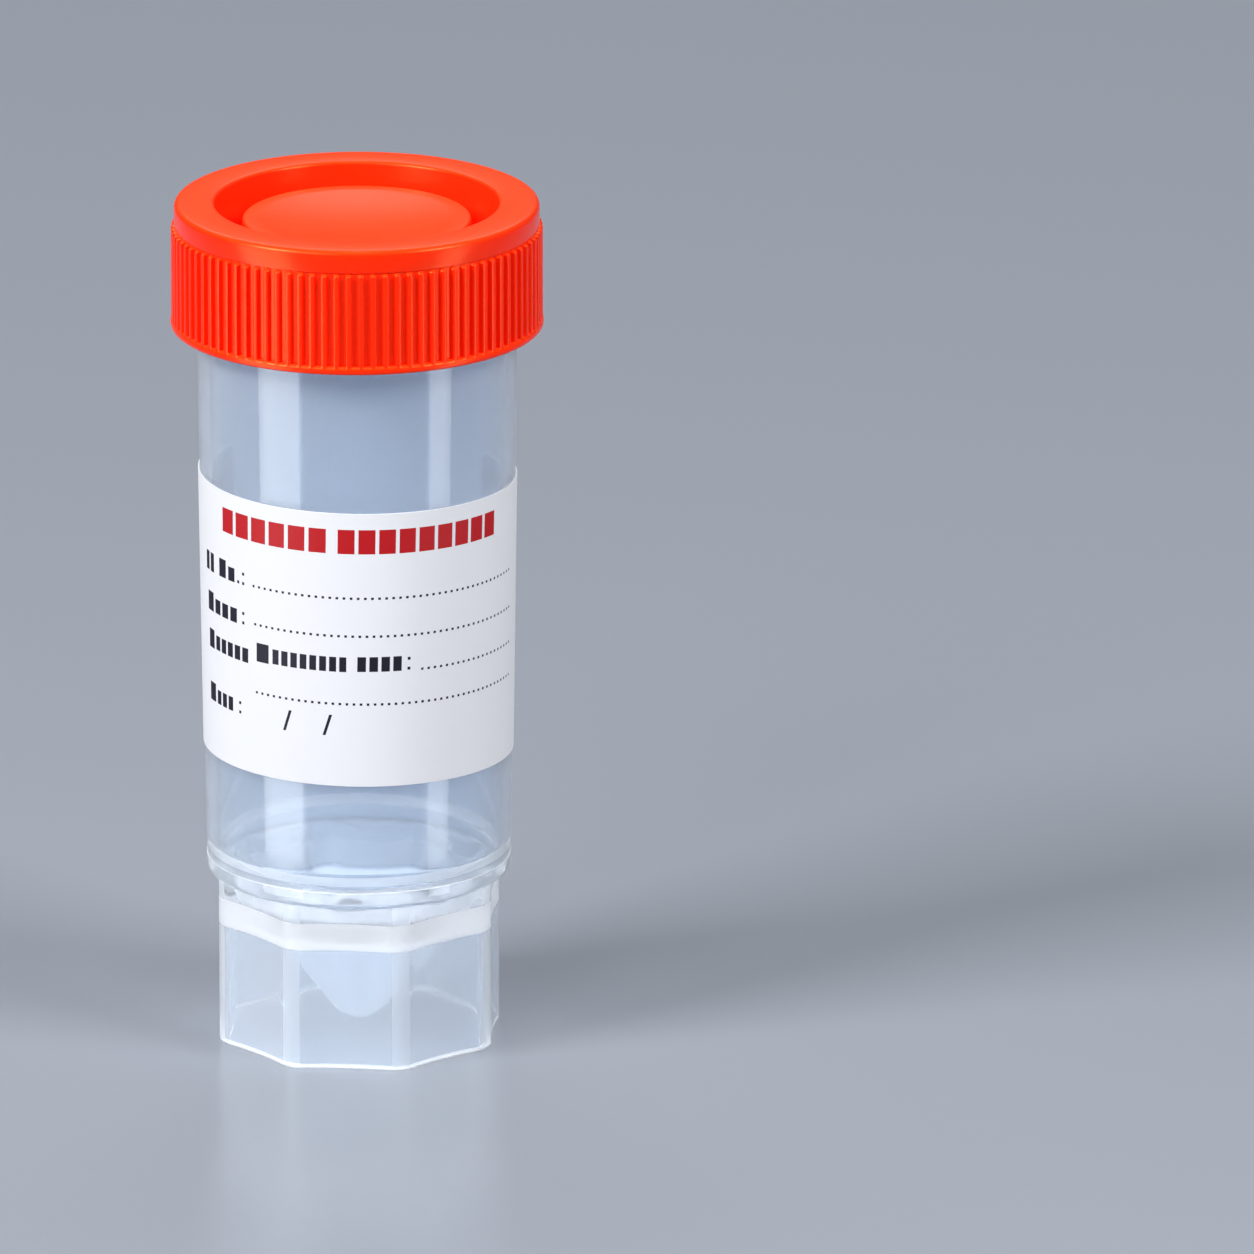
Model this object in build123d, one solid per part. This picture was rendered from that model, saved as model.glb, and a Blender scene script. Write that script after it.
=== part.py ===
"""Specimen container: a screw-capped tube with a conical floor, standing on an octagonal skirt.

Millimetres. The origin is on the standing plane at the container's axis, +Z is up,
and the middle of the label faces -Y.
"""
from build123d import *
from math import cos, pi, radians, sin, tan
import os

# Container: one clear moulding of neck, wall, conical floor and standing skirt.
LIP_HEIGHT = 82.5            # standing plane to the top of the neck
LIP_BEVEL = 0.25
NECK_RADIUS = 15.40          # outside of the neck, under its thread
NECK_WALL = 1.00
SHOULDER_DROP = 0.35         # the neck runs this far below the cap
SHOULDER_STEP = 0.09         # the wall stands this far beyond the neck
WALL = 1.10
WALL_DRAFT = 0.76            # the wall's radius is this much less at its foot
FOOT_RING_HEIGHT = 1.80      # low ring round the foot of the wall
FOOT_RING_PROUD = 0.10
FOOT_BEVEL = 0.65            # under the foot ring
LEDGE_WIDTH = 1.22           # wall's foot, beyond the cone, at the foot's underside
CONE_SLOPE = 52.0            # degrees above the horizontal
CONE_WALL = 1.40
CONE_TIP_HEIGHT = 1.40       # standing plane to the cone's lowest point
CONE_TIP_RADIUS = 3.20       # outside of the rounded tip
FLOOR_EASE = 1.40            # two bevels inside, between the wall and the conical floor
SKIRT_SIDES = 8
SKIRT_SET_IN = 0.11          # sharp corner of the octagon, inside the wall's foot
SKIRT_CORNER_ROUND = 3.00
SKIRT_SIDE_DISH = 0.50       # how far each side curves inwards
SKIRT_TURN = 17.5            # degrees from the label's middle to the next corner
SKIRT_WALL = 1.00
SKIRT_EDGE_BEVEL = 0.25
SKIRT_WEB = 4.60             # solid part over the hollow round the cone

# Screw cap: one moulding with a ribbed grip, a sealing plug and a raised centre disc.
LIP_CLEARANCE = 0.20         # over the neck's lip
CAP_WEB = 1.30               # top plate over the lip
CAP_LENGTH = 12.30
CAP_WALL = 1.05              # between the bore and the valleys of the grip
THREAD_HEIGHT = 0.75         # the neck's thread, which the cap's bore clears
THREAD_CLEARANCE = 0.30
BAND_HEIGHT = 2.20           # plain band above the ribs
RIB_COUNT = 94
RIB_DEPTH = 0.17             # valley between ribs, below the plain band
RIB_PROUD = 0.30             # ribs stand this far beyond the plain band
RIB_WIDTH = 0.56
RIB_TOP_GAP = 0.12           # rib ends stop this far below the plain band
BEAD_PROUD = 0.38            # bottom bead, beyond the plain band
BEAD_HEIGHT = 0.80
BEAD_BEVEL = 0.22
TOP_EDGE_BEVEL = 0.40
RECESS_SKIN = 0.50           # recess edge, inside the plug's outer face
RECESS_EDGE_BEVEL = 0.22
RECESS_DEPTH = 5.00
RECESS_DRAFT = 3.0           # degrees
MOAT_WIDTH = 2.69            # ring-shaped recess, at its top
MOAT_BEVEL = 0.55
DISC_DROP = 1.60             # disc's rim, below the cap's top
DISC_RIM = 1.46              # flat rim round the dished part of the disc
DISH_DEPTH = 0.80
PLUG_CLEARANCE = 0.15        # plug in the neck's bore
PLUG_WALL = 1.00             # inner wall and floor of the plug
PLUG_LEAD = 0.50             # lead-in on the plug's lower edge

# Label: one thin wrap on the wall.
LABEL_MIDDLE = 43.20         # standing plane to the label's middle
LABEL_HEIGHT = 27.60
LABEL_HALF_WRAP = 121.0      # degrees each side of the middle
LABEL_THICKNESS = 0.12
LABEL_GLUE = 0.05            # glue between the label and the wall
LABEL_TILT = 1.1             # degrees, left end up

# Radii and heights that follow from the sizes above.
NECK_BORE = NECK_RADIUS - NECK_WALL
SHOULDER_RADIUS = NECK_RADIUS + SHOULDER_STEP
FOOT_RADIUS = SHOULDER_RADIUS - WALL_DRAFT
FOOT_BORE = FOOT_RADIUS - WALL
FOOT_RING_RADIUS = FOOT_RADIUS + FOOT_RING_PROUD
CONE_APEX = CONE_TIP_HEIGHT - CONE_TIP_RADIUS * (1 / cos(radians(CONE_SLOPE)) - 1)
FLOOR_APEX = CONE_APEX + CONE_WALL / cos(radians(CONE_SLOPE))
FLOOR_TIP_RADIUS = CONE_TIP_RADIUS - CONE_WALL
LEDGE_REACH = FOOT_RADIUS - LEDGE_WIDTH
LEDGE_HEIGHT = CONE_APEX + LEDGE_REACH * tan(radians(CONE_SLOPE))
CAP_TOP = LIP_HEIGHT + LIP_CLEARANCE + CAP_WEB
CAP_BOTTOM = CAP_TOP - CAP_LENGTH
SHOULDER_HEIGHT = CAP_BOTTOM - SHOULDER_DROP
CAP_BORE = NECK_RADIUS + THREAD_HEIGHT + THREAD_CLEARANCE
GRIP_ROOT = CAP_BORE + CAP_WALL
BAND_RADIUS = GRIP_ROOT + RIB_DEPTH
PLUG_RADIUS = NECK_BORE - PLUG_CLEARANCE
RECESS_RADIUS = PLUG_RADIUS - RECESS_SKIN
DISC_RADIUS = RECESS_RADIUS - MOAT_WIDTH
DISH_RADIUS = DISC_RADIUS - DISC_RIM
MOAT_FLOOR = CAP_TOP - RECESS_DEPTH
DISC_TOP = CAP_TOP - DISC_DROP


def wall_radius(height):
    """Outside radius of the drafted wall at a height."""
    share = (height - LEDGE_HEIGHT) / (SHOULDER_HEIGHT - LEDGE_HEIGHT)
    return FOOT_RADIUS + share * (SHOULDER_RADIUS - FOOT_RADIUS)


def drafted(start, end):
    """A straight drafted line, kept as a curve so that its turned face has few facets."""
    start, end = Vector(start), Vector(end)
    return Bezier(start, (start + end) / 2, end)


def rounded_cone(apex, tip_radius, reach):
    """Points of a cone with a rounded tip: bottom, middle and end of the arc, then the rim."""
    slope = radians(CONE_SLOPE)
    centre = apex + tip_radius / cos(slope)
    bottom = (0, centre - tip_radius)
    middle = (tip_radius * sin(slope / 2), centre - tip_radius * cos(slope / 2))
    tangent = (tip_radius * sin(slope), centre - tip_radius * cos(slope))
    rim = (reach, apex + reach * tan(slope))
    return bottom, middle, tangent, rim


def revolved(profile):
    """Turn a closed outline in the XZ plane round the Z axis."""
    return revolve(Plane.XZ * make_face(profile), Axis.Z)


def vessel():
    """Neck, wall, foot ring and conical floor as one turned shell."""
    ring_top = LEDGE_HEIGHT + FOOT_RING_HEIGHT
    out_bottom, out_middle, out_tangent, out_rim = rounded_cone(
        CONE_APEX, CONE_TIP_RADIUS, LEDGE_REACH)
    in_bottom, in_middle, in_tangent, in_rim = rounded_cone(
        FLOOR_APEX, FLOOR_TIP_RADIUS, FOOT_BORE)
    foot = [
        out_rim,
        (FOOT_RING_RADIUS - FOOT_BEVEL, LEDGE_HEIGHT),
        (FOOT_RING_RADIUS, LEDGE_HEIGHT + FOOT_BEVEL),
        (FOOT_RING_RADIUS, ring_top),
        (wall_radius(ring_top), ring_top),
    ]
    shoulder = (SHOULDER_RADIUS, SHOULDER_HEIGHT)
    down_cone = (-cos(radians(CONE_SLOPE)), -sin(radians(CONE_SLOPE)))
    floor_edge = [
        (FOOT_BORE, in_rim[1] + FLOOR_EASE),
        (FOOT_BORE + down_cone[0] * FLOOR_EASE / 4, in_rim[1]),
        (FOOT_BORE + down_cone[0] * FLOOR_EASE, in_rim[1] + down_cone[1] * FLOOR_EASE),
    ]
    neck = [
        shoulder,
        (NECK_RADIUS, SHOULDER_HEIGHT),
        (NECK_RADIUS, LIP_HEIGHT - LIP_BEVEL),
        (NECK_RADIUS - LIP_BEVEL, LIP_HEIGHT),
        (NECK_BORE + LIP_BEVEL, LIP_HEIGHT),
        (NECK_BORE, LIP_HEIGHT - LIP_BEVEL),
        (NECK_BORE, SHOULDER_HEIGHT),
    ]
    profile = [
        ThreePointArc(out_bottom, out_middle, out_tangent),
        Line(out_tangent, out_rim),
        Polyline(*foot),
        drafted(foot[-1], shoulder),
        Polyline(*neck),
        drafted(neck[-1], floor_edge[0]),
        Polyline(*floor_edge),
        Line(floor_edge[-1], in_tangent),
        ThreePointArc(in_tangent, in_middle, in_bottom),
        Line(in_bottom, out_bottom),
    ]
    return revolved(profile)


def skirt_outline(inset):
    """Octagon with dished sides and round corners, drawn a distance inside the outer one."""
    step = 2 * pi / SKIRT_SIDES
    first = radians(SKIRT_TURN - 90)
    reach = FOOT_RADIUS - SKIRT_SET_IN
    corner_reach = reach - inset / cos(step / 2)
    side_reach = reach * cos(step / 2) - SKIRT_SIDE_DISH - inset
    sides = []
    for index in range(SKIRT_SIDES):
        start = first + index * step
        ends = [(corner_reach * cos(a), corner_reach * sin(a)) for a in (start, start + step)]
        middle = (side_reach * cos(start + step / 2), side_reach * sin(start + step / 2))
        sides.append(ThreePointArc(ends[0], middle, ends[1]))
    outline = make_face(sides)
    return fillet(outline.vertices(), SKIRT_CORNER_ROUND - inset)


def skirt():
    """Standing skirt: solid where it grows out of the foot ring, hollow round the cone below."""
    block = extrude(skirt_outline(0), LEDGE_HEIGHT + FOOT_BEVEL)
    hollow = extrude(skirt_outline(SKIRT_WALL), LEDGE_HEIGHT - SKIRT_WEB)
    rim_edges = block.faces().sort_by(Axis.Z)[0].edges()
    return chamfer(rim_edges, SKIRT_EDGE_BEVEL) - hollow


def inner_space():
    """The space over the conical floor, which the skirt's block must not fill."""
    bottom, middle, tangent, rim = rounded_cone(FLOOR_APEX, FLOOR_TIP_RADIUS, FOOT_BORE)
    profile = [
        ThreePointArc(bottom, middle, tangent),
        Line(tangent, rim),
        Line(rim, (0, rim[1])),
        Line((0, rim[1]), bottom),
    ]
    return revolved(profile)


def container():
    """The whole clear moulding."""
    return vessel() + (skirt() - inner_space())


def cap_shell():
    """The cap without its ribs, as one turned section."""
    draft = tan(radians(RECESS_DRAFT))
    moat_outer = (RECESS_RADIUS - RECESS_DEPTH * draft, MOAT_FLOOR)
    moat_inner = (DISC_RADIUS + (DISC_TOP - MOAT_FLOOR) * draft, MOAT_FLOOR)
    recess_edge = (RECESS_RADIUS, CAP_TOP)
    disc_edge = (DISC_RADIUS, DISC_TOP)
    plug_bottom = MOAT_FLOOR - PLUG_WALL
    under_disc = DISC_TOP - DISH_DEPTH - PLUG_WALL
    bead_top = CAP_BOTTOM + BEAD_HEIGHT
    bead_radius = BAND_RADIUS + BEAD_PROUD
    outside = [
        recess_edge,
        (BAND_RADIUS, CAP_TOP),
        (BAND_RADIUS, CAP_TOP - BAND_HEIGHT),
        (GRIP_ROOT, CAP_TOP - BAND_HEIGHT),
        (GRIP_ROOT, bead_top),
        (bead_radius, bead_top),
        (bead_radius, CAP_BOTTOM),
        (CAP_BORE, CAP_BOTTOM),
        (CAP_BORE, CAP_TOP - CAP_WEB),
        (PLUG_RADIUS, CAP_TOP - CAP_WEB),
        (PLUG_RADIUS, plug_bottom + PLUG_LEAD),
        (PLUG_RADIUS - PLUG_LEAD, plug_bottom),
        (moat_inner[0] - PLUG_WALL, plug_bottom),
    ]
    under_rim = (DISC_RADIUS - PLUG_WALL, under_disc)
    dish = [
        (0, DISC_TOP - DISH_DEPTH),
        (DISH_RADIUS / 2, DISC_TOP - DISH_DEPTH),
        (DISH_RADIUS, DISC_TOP),
    ]
    outline = [*outside, under_rim, (0, under_disc), *dish, disc_edge, moat_inner, moat_outer]
    section = make_face(Polyline(*outline, close=True))
    bevels = [
        (TOP_EDGE_BEVEL, outside[1]),
        (RECESS_EDGE_BEVEL, recess_edge),
        (MOAT_BEVEL, moat_inner),
        (MOAT_BEVEL, moat_outer),
        (BEAD_BEVEL, (bead_radius, CAP_BOTTOM)),
    ]
    for length, place in bevels:
        corner = section.vertices().sort_by_distance((*place, 0))[0]
        section = chamfer(corner, length)
    profile = []
    for edge in section.edges():
        start, end = edge @ 0, edge @ 1
        sideways, upwards = abs(end.X - start.X), abs(end.Y - start.Y)
        steep = 0.01 < sideways < upwards / 2
        profile.append(drafted(start, end) if steep else edge)
    return revolved(profile)


def grip_rib():
    """One rib with a sloped upper end, which stands on the bottom bead."""
    foot = CAP_BOTTOM + BEAD_HEIGHT / 2
    length = CAP_TOP - BAND_HEIGHT - RIB_TOP_GAP - foot
    depth = CAP_WALL / 2 + RIB_DEPTH + RIB_PROUD
    bar = Box(depth, RIB_WIDTH, length, align=(Align.MAX, Align.CENTER, Align.MIN))
    top_edge = bar.faces().sort_by(Axis.X)[-1].edges().sort_by(Axis.Z)[-1]
    return Pos(BAND_RADIUS + RIB_PROUD, 0, foot) * chamfer(top_edge, RIB_PROUD)


def screw_cap():
    """The whole cap: turned shell with ribs all the way round."""
    rib = grip_rib()
    ribs = [Rot(0, 0, 360 * index / RIB_COUNT) * rib for index in range(RIB_COUNT)]
    return cap_shell() + ribs


def label():
    """The wrap: a thin drafted band between two tilted sections."""
    low = LABEL_MIDDLE - LABEL_HEIGHT
    high = LABEL_MIDDLE + LABEL_HEIGHT
    outline = [
        (wall_radius(low) + LABEL_GLUE, low),
        (wall_radius(low) + LABEL_GLUE + LABEL_THICKNESS, low),
        (wall_radius(high) + LABEL_GLUE + LABEL_THICKNESS, high),
        (wall_radius(high) + LABEL_GLUE, high),
    ]
    profile = make_face(Polyline(*outline, close=True))
    band = revolve(Plane.XZ * profile, Axis.Z, revolution_arc=2 * LABEL_HALF_WRAP)
    band = Rot(0, 0, -90 - LABEL_HALF_WRAP) * band
    cuts = []
    for height in (-LABEL_HEIGHT / 2, LABEL_HEIGHT / 2):
        tilted = Plane(Pos(0, 0, LABEL_MIDDLE) * Rot(0, LABEL_TILT, 0) * Pos(0, 0, height))
        cuts.append(section(band, section_by=tilted))
    return loft(cuts, ruled=True)


os.makedirs("parts", exist_ok=True)
export_step(container(), "parts/container.step")
export_step(screw_cap(), "parts/screw_cap.step")
export_step(label(), "parts/label.step")
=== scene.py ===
"""Dressed model of a specimen container, its cap and label, with stage and camera.

The file is laid out as a Blender add-on. The frame gives the solids that the pieces replace.
"""
from math import atan, cos, pi, radians, sin, sqrt, tan

import bmesh
import bpy
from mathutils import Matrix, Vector


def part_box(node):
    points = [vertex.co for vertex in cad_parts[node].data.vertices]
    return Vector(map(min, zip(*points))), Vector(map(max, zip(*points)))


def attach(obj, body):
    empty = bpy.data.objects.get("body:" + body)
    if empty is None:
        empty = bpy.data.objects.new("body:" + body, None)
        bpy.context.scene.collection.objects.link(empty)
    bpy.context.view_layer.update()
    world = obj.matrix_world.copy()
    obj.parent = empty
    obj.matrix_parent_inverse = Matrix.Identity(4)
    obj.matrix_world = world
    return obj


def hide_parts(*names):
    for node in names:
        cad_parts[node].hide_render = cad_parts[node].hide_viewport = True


bl_info = {
    "name": "Specimen Container",
    "version": (1, 0, 0),
    "blender": (4, 5, 0),
    "location": "View3D > Sidebar > Container",
    "description": "Builds a clear specimen container with its screw cap, label, stage and camera",
    "category": "Add Mesh",
}

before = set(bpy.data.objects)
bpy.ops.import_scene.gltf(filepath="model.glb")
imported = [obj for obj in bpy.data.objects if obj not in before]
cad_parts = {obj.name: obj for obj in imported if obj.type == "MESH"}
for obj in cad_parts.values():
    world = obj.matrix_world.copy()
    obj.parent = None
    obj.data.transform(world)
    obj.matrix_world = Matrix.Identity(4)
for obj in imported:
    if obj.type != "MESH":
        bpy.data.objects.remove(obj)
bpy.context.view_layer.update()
MM = 0.001
ROUND_STEPS = 192                   # facets round the turned container
NECK_WALL = 1.0 * MM
WALL = 1.1 * MM
CONE_WALL = 1.4 * MM
RING_HEIGHT = 1.8 * MM              # low ring round the foot of the wall
SKIRT_CORNER = radians(22.5)        # middle of a side of the octagon to its corner
SKIRT_WALL = 1.0 * MM
SKIRT_WEB = 4.6 * MM                # solid part of the skirt over its hollow
THREAD_PROUD = 0.75 * MM
THREAD_BURIED = 0.3 * MM            # depth of the thread's root in the wall
THREAD_THICK = 1.35 * MM
THREAD_TURNS = 1.6
THREAD_START = 0.6
THREAD_RUN_OUT = 10                 # sections over which each end of a thread sinks in
LABEL_WIDTH = 64.0 * MM
LABEL_HEIGHT = 27.6 * MM
LABEL_MIDDLE = 43.25 * MM
LABEL_GLUE = 0.05 * MM
LABEL_THICKNESS = 0.12 * MM
LABEL_CORNER = 1.2 * MM
LABEL_TILT = radians(0.9)
LABEL_COLUMNS = 130


# Sizes and colours that a user would change.

class ContainerSizes(bpy.types.PropertyGroup):
    """Sizes of the clear container"""
    lip_height: bpy.props.FloatProperty(
        name="Lip Height", description="Standing plane to the top of the neck",
        default=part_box("container")[1][2], unit="LENGTH")
    neck_radius: bpy.props.FloatProperty(
        name="Neck Radius", description="Outside of the neck, under its thread",
        default=15.40 * MM, unit="LENGTH")
    shoulder_radius: bpy.props.FloatProperty(
        name="Shoulder Radius", description="Outside of the wall at the neck",
        default=15.49 * MM, unit="LENGTH")
    shoulder_height: bpy.props.FloatProperty(
        name="Shoulder Height", description="Standing plane to where the neck begins",
        default=71.35 * MM, unit="LENGTH")
    foot_radius: bpy.props.FloatProperty(
        name="Foot Radius", description="Outside of the wall at its foot",
        default=14.73 * MM, unit="LENGTH")
    ledge_height: bpy.props.FloatProperty(
        name="Ledge Height", description="Underside of the foot, above the skirt's sides",
        default=16.69 * MM, unit="LENGTH")
    cone_slope: bpy.props.FloatProperty(
        name="Floor Slope", description="Slope of the conical floor",
        default=radians(52), subtype="ANGLE")
    skirt_reach: bpy.props.FloatProperty(
        name="Skirt Reach", description="Axis to the sharp corner of the skirt's octagon",
        default=14.62 * MM, unit="LENGTH")
    skirt_turn: bpy.props.FloatProperty(
        name="Skirt Turn", description="From the label's middle to the skirt's next corner",
        default=radians(17.5), subtype="ANGLE")
    thread_pitch: bpy.props.FloatProperty(
        name="Thread Pitch", description="Rise of the screw thread in one turn",
        default=3.4 * MM, unit="LENGTH")


class CapSizes(bpy.types.PropertyGroup):
    """Sizes of the screw cap"""
    top: bpy.props.FloatProperty(
        name="Top", description="Standing plane to the top of the cap",
        default=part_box("screw_cap")[1][2], unit="LENGTH")
    bottom: bpy.props.FloatProperty(
        name="Bottom", description="Standing plane to the lower edge of the cap",
        default=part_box("screw_cap")[0][2], unit="LENGTH")
    band_radius: bpy.props.FloatProperty(
        name="Band Radius", description="Plain band above the ribs",
        default=17.67 * MM, unit="LENGTH")
    rib_count: bpy.props.IntProperty(
        name="Ribs", description="Ribs round the grip", default=94, min=12)
    rib_radius: bpy.props.FloatProperty(
        name="Rib Radius", description="Half the width of one rib",
        default=0.30 * MM, unit="LENGTH")


class Finishes(bpy.types.PropertyGroup):
    """Colours of the pieces and the stage"""
    clear_tint: bpy.props.FloatVectorProperty(
        name="Clear Plastic", description="Tint of the clear moulding",
        subtype="COLOR", size=4, min=0, max=1, default=(0.725, 0.82, 0.945, 1))
    skirt_tint: bpy.props.FloatVectorProperty(
        name="Skirt", description="Tint of the clear skirt",
        subtype="COLOR", size=4, min=0, max=1, default=(0.82, 0.89, 0.98, 1))
    # Tint of the cloudier plastic, and also of the painted highlights and of the painted sheen
    # where the clear plastic is seen edge on.
    haze_and_highlight_tint: bpy.props.FloatVectorProperty(
        name="Cloudy Plastic", description="Tint of the thicker, cloudier foot and skirt",
        subtype="COLOR", size=4, min=0, max=1, default=(0.93, 0.95, 0.98, 1))
    cap_colour: bpy.props.FloatVectorProperty(
        name="Cap", description="Colour of the screw cap",
        subtype="COLOR", size=4, min=0, max=1, default=(0.97, 0.017, 0.0015, 1))
    # Painted light: the cap's colour where it faces up, a lighter orange for the light that falls
    # on its top.
    cap_painted_top_light: bpy.props.FloatVectorProperty(
        name="Cap, Facing Up", description="Colour of the cap where it faces up",
        subtype="COLOR", size=4, min=0, max=1, default=(0.98, 0.05, 0.004, 1))
    label_colour: bpy.props.FloatVectorProperty(
        name="Label", description="Paper of the label",
        subtype="COLOR", size=4, min=0, max=1, default=(0.72, 0.725, 0.757, 1))
    heading_colour: bpy.props.FloatVectorProperty(
        name="Heading Ink", description="Red ink of the heading bars",
        subtype="COLOR", size=4, min=0, max=1, default=(0.42, 0.004, 0.008, 1))
    ink_colour: bpy.props.FloatVectorProperty(
        name="Ink", description="Dark ink of the rules and prompts",
        subtype="COLOR", size=4, min=0, max=1, default=(0.008, 0.008, 0.018, 1))
    stage_colour: bpy.props.FloatVectorProperty(
        name="Stage", description="Floor and backdrop",
        subtype="COLOR", size=4, min=0, max=1, default=(0.262, 0.285, 0.327, 1))


# Modelling helpers.

def start_section(name):
    """Open a new piece that is one vertex on the axis, ready to be drawn out."""
    bpy.ops.object.select_all(action="DESELECT")
    bpy.ops.mesh.primitive_plane_add(size=MM)
    piece = bpy.context.object
    piece.name = name
    piece.data.name = name
    bpy.ops.object.mode_set(mode="EDIT")
    bpy.ops.mesh.select_mode(type="VERT")
    bpy.ops.mesh.select_all(action="SELECT")
    bpy.ops.mesh.merge(type="CENTER")
    return piece


def pick(piece, kind, wanted):
    """Select only the vertices, edges or faces of a piece in edit mode that are wanted."""
    bpy.ops.mesh.select_mode(type=kind)
    bpy.ops.mesh.select_all(action="DESELECT")
    shape = bmesh.from_edit_mesh(piece.data)
    shape.normal_update()
    parts = {"VERT": shape.verts, "EDGE": shape.edges, "FACE": shape.faces}[kind]
    count = 0
    for part in parts:
        if wanted(part):
            part.select_set(True)
            count += 1
    if count == 0:
        raise RuntimeError("nothing to select on " + piece.name)
    shape.select_flush_mode()
    bmesh.update_edit_mesh(piece.data)


def draw_section(piece, corners):
    """Extrude the vertex through (radius, height) corners in the XZ plane and round them.

    A third number rounds the corner: it is the distance from the corner to each end of the arc.
    """
    here = (0, 0)
    for index, corner in enumerate(corners):
        step = (corner[0] - here[0], 0, corner[1] - here[1])
        if index == 0:
            bpy.ops.transform.translate(value=step)
        else:
            bpy.ops.mesh.extrude_vertices_move(TRANSFORM_OT_translate={"value": step})
        here = corner
    for corner in corners:
        if len(corner) == 3:
            place = Vector((corner[0], 0, corner[1]))
            pick(piece, "VERT", lambda vert: (vert.co - place).length < 0.01 * MM)
            steps = 2 + int(corner[2] / (0.14 * MM))
            bpy.ops.mesh.bevel(
                offset=corner[2], affect="VERTICES", segments=min(steps, 10), profile=0.5)


def turn_section(piece, steps):
    """Turn the drawn section into a closed shell and stay in edit mode."""
    leave_edit()
    apply_modifier(
        piece, "SCREW", axis="Z", angle=2 * pi, screw_offset=0, steps=steps,
        render_steps=steps, use_merge_vertices=True, merge_threshold=0.0005 * MM)
    bpy.ops.object.mode_set(mode="EDIT")
    bpy.ops.mesh.select_all(action="SELECT")
    bpy.ops.mesh.remove_doubles(threshold=0.0005 * MM)
    bpy.ops.mesh.normals_make_consistent(inside=False)


def leave_edit():
    """Go back to object mode."""
    bpy.ops.object.mode_set(mode="OBJECT")


def apply_modifier(piece, kind, **settings):
    """Add a modifier with its settings and apply it."""
    bpy.ops.object.select_all(action="DESELECT")
    piece.select_set(True)
    bpy.context.view_layer.objects.active = piece
    bpy.ops.object.modifier_add(type=kind)
    modifier = piece.modifiers[-1]
    for name, value in settings.items():
        setattr(modifier, name, value)
    bpy.ops.object.modifier_apply(modifier=modifier.name)


def join_solid(piece, tool, operation):
    """Cut a piece with a tool, or fuse the two, and delete the tool."""
    apply_modifier(piece, "BOOLEAN", operation=operation, object=tool, solver="EXACT")
    bpy.ops.object.select_all(action="DESELECT")
    tool.select_set(True)
    bpy.ops.object.delete()


def smooth(piece, angle):
    """Shade a finished piece smooth, with sharp edges past the angle."""
    bpy.ops.object.select_all(action="DESELECT")
    piece.select_set(True)
    bpy.context.view_layer.objects.active = piece
    bpy.ops.object.shade_smooth_by_angle(angle=radians(angle))
    apply_modifier(piece, "WEIGHTED_NORMAL", keep_sharp=True)


def add_thread(name, root, crest, low, pitch, start):
    """One closed helical thread whose ends run out into the wall that carries it."""
    thick, turns = THREAD_THICK, THREAD_TURNS
    thread = start_section(name)
    draw_section(thread, [
        (root, low - thick / 2), (crest, low - thick / 5),
        (crest, low + thick / 5), (root, low + thick / 2)])
    bpy.ops.mesh.select_all(action="SELECT")
    bpy.ops.mesh.edge_face_add()
    bpy.ops.mesh.delete(type="ONLY_FACE")
    leave_edit()
    steps = int(96 * turns)
    apply_modifier(
        thread, "SCREW", axis="Z", angle=2 * pi * turns, screw_offset=pitch * turns,
        steps=steps, render_steps=steps, iterations=1, use_merge_vertices=False)
    bpy.ops.object.mode_set(mode="EDIT")
    halfway = (root + crest) / 2
    outwards = crest > root
    for ring in range(THREAD_RUN_OUT):
        share = (ring + 0.2) / THREAD_RUN_OUT
        level = (root + (crest - root) * share) / crest

        def crest_at_end(vert):
            near_end = vert.index // 4 in (ring, steps - ring)
            return near_end and (vert.co.xy.length > halfway) == outwards

        pick(thread, "VERT", crest_at_end)
        bpy.ops.transform.resize(value=(level, level, 1), center_override=(0, 0, 0))
    bpy.ops.mesh.select_all(action="SELECT")
    bpy.ops.mesh.fill_holes(sides=4)
    bpy.ops.mesh.normals_make_consistent(inside=False)
    bpy.ops.transform.rotate(value=start, orient_axis="Z", center_override=(0, 0, 0))
    leave_edit()
    return thread


# Shared shader groups.

def group_sockets(group, inputs, outputs):
    """Give a node group its named sockets and return its input and output nodes."""
    for name, kind, default in inputs:
        socket = group.interface.new_socket(name=name, in_out="INPUT", socket_type=kind)
        if default is not None:
            socket.default_value = default
    for name, kind in outputs:
        group.interface.new_socket(name=name, in_out="OUTPUT", socket_type=kind)
    return group.nodes.new("NodeGroupInput"), group.nodes.new("NodeGroupOutput")


def feed(tree, socket, value):
    """Set a socket to a number or colour, or link another node's socket to it."""
    if isinstance(value, bpy.types.NodeSocket):
        tree.links.new(value, socket)
    else:
        socket.default_value = value


def add_math(tree, operation, first, second=None, clamp=False):
    """One Math node whose inputs are numbers or other nodes' sockets."""
    node = tree.nodes.new("ShaderNodeMath")
    node.operation = operation
    node.use_clamp = clamp
    for socket, value in zip(node.inputs, (first, second)):
        if value is not None:
            feed(tree, socket, value)
    return node.outputs[0]


def mix_colours(tree, share, first, second):
    """One Mix node whose share and colours are values or other nodes' sockets."""
    node = tree.nodes.new("ShaderNodeMix")
    node.data_type = "RGBA"
    share_in, first_in, second_in = node.inputs[0], node.inputs[6], node.inputs[7]
    for socket, value in ((share_in, share), (first_in, first), (second_in, second)):
        feed(tree, socket, value)
    return node.outputs[2]


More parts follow.
